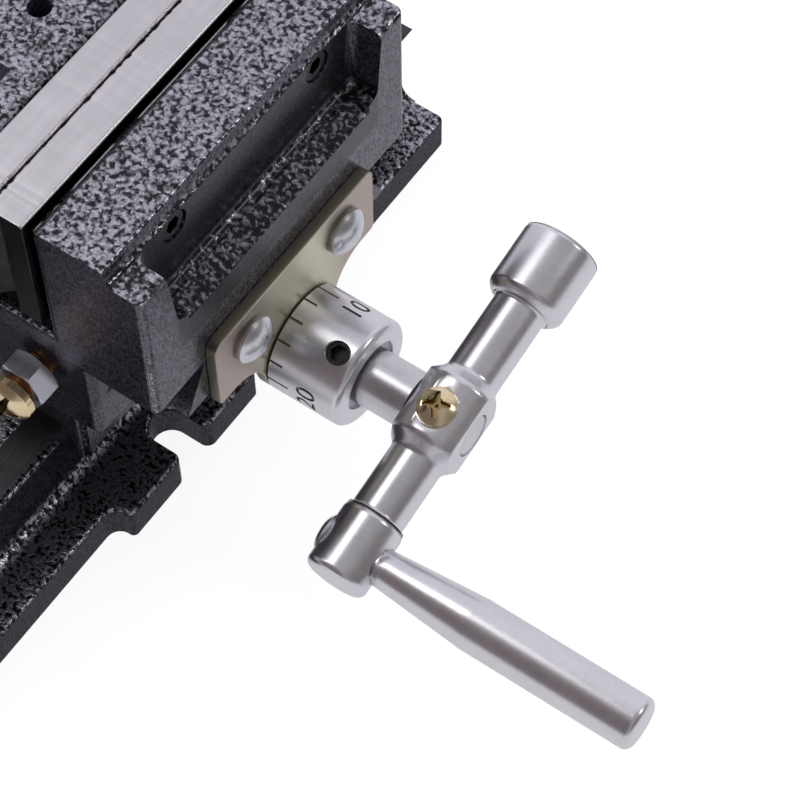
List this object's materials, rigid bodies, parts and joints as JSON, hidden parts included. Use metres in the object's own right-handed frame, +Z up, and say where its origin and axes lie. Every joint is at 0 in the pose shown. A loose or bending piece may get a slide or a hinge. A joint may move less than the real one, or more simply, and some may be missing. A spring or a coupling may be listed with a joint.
{
  "type": "cross slide vise",
  "caption": "Machine vise on two crossed dovetail slides, each moved by a dialled lead screw with a crank, for clamping and positioning work on a drilling machine.",
  "frame": {"origin": "centre of the base's underside", "axes": "+X along the upper lead screw towards its crank, +Y along the base and the jaws, +Z up"},
  "size_m": [0.4192, 0.3745, 0.138],
  "materials": {
    "cast_paint": "black and silver hammertone enamel on cast iron",
    "ground_steel": "ground",
    "bright_zinc": "satin zinc plate",
    "yellow_zinc": "yellow passivated zinc plate",
    "black_oxide": "black oxide",
    "iron_nut": "machined"
  },
  "bodies": {
    "base": {"base": "cast_paint", "base_screw_bracket": "yellow_zinc", "base_bracket_screws": "bright_zinc"},
    "base_screw": {"base_lead_screw": "bright_zinc", "base_thrust_ring": "bright_zinc", "base_dial": "bright_zinc", "base_dial_set_screw": "black_oxide", "base_crank_arm": "bright_zinc", "base_crank_grip": "bright_zinc", "base_crank_screw": "yellow_zinc"},
    "saddle": {"saddle": "cast_paint", "base_lead_nut": "iron_nut", "base_nut_bolts": "black_oxide", "lower_gib": "ground_steel", "lower_gib_screws": "yellow_zinc", "lower_gib_nuts": "bright_zinc", "upper_gib": "ground_steel", "upper_gib_screws": "yellow_zinc", "upper_gib_nuts": "bright_zinc", "cross_lead_nut": "iron_nut", "cross_nut_bolts": "black_oxide"},
    "vise_body": {"vise_body": "cast_paint", "fixed_jaw_plate": "ground_steel", "fixed_jaw_screws": "black_oxide", "cross_screw_bracket": "yellow_zinc", "cross_bracket_screws": "bright_zinc"},
    "cross_screw": {"cross_lead_screw": "bright_zinc", "cross_thrust_ring": "bright_zinc", "cross_dial": "bright_zinc", "cross_dial_set_screw": "black_oxide", "cross_crank_arm": "bright_zinc", "cross_crank_grip": "bright_zinc", "cross_crank_screw": "yellow_zinc"},
    "moving_jaw": {"moving_jaw": "cast_paint", "moving_jaw_plate": "ground_steel", "moving_jaw_screws": "black_oxide", "jaw_keeper": "ground_steel", "keeper_bolts": "black_oxide", "vise_screw_pin": "black_oxide"},
    "vise_screw": {"vise_screw": "bright_zinc", "vise_crank_arm": "bright_zinc", "vise_crank_grip": "bright_zinc", "vise_crank_screw": "yellow_zinc"}
  },
  "joints": [
    {"name": "base_crank_turn", "type": "hinge", "parent": "base", "child": "base_screw", "pos_m": [0, -0.124, 0.026], "axis": [0, -1, 0], "range_deg": [-8160, 3840]},
    {"name": "saddle_slide", "type": "slide", "parent": "base", "child": "saddle", "axis": [0, 1, 0], "range_m": [-0.068, 0.032]},
    {"name": "vise_slide", "type": "slide", "parent": "saddle", "child": "vise_body", "axis": [1, 0, 0], "range_m": [-0.018, 0.08]},
    {"name": "cross_crank_turn", "type": "hinge", "parent": "vise_body", "child": "cross_screw", "pos_m": [0.094, 0.018, 0.06], "axis": [1, 0, 0], "range_deg": [-2160, 9600]},
    {"name": "jaw_slide", "type": "slide", "parent": "vise_body", "child": "moving_jaw", "axis": [-1, 0, 0], "range_m": [0, 0.09]},
    {"name": "vise_crank_turn", "type": "hinge", "parent": "moving_jaw", "child": "vise_screw", "pos_m": [-0.094, 0.018, 0.115], "axis": [-1, 0, 0], "range_deg": [0, 10800]}
  ],
  "couplings": [
    {"joint": "saddle_slide", "follows": "base_crank_turn", "m_per_rad": 0.00047746},
    {"joint": "vise_slide", "follows": "cross_crank_turn", "m_per_rad": 0.00047746},
    {"joint": "jaw_slide", "follows": "vise_crank_turn", "m_per_rad": 0.00047746}
  ]
}
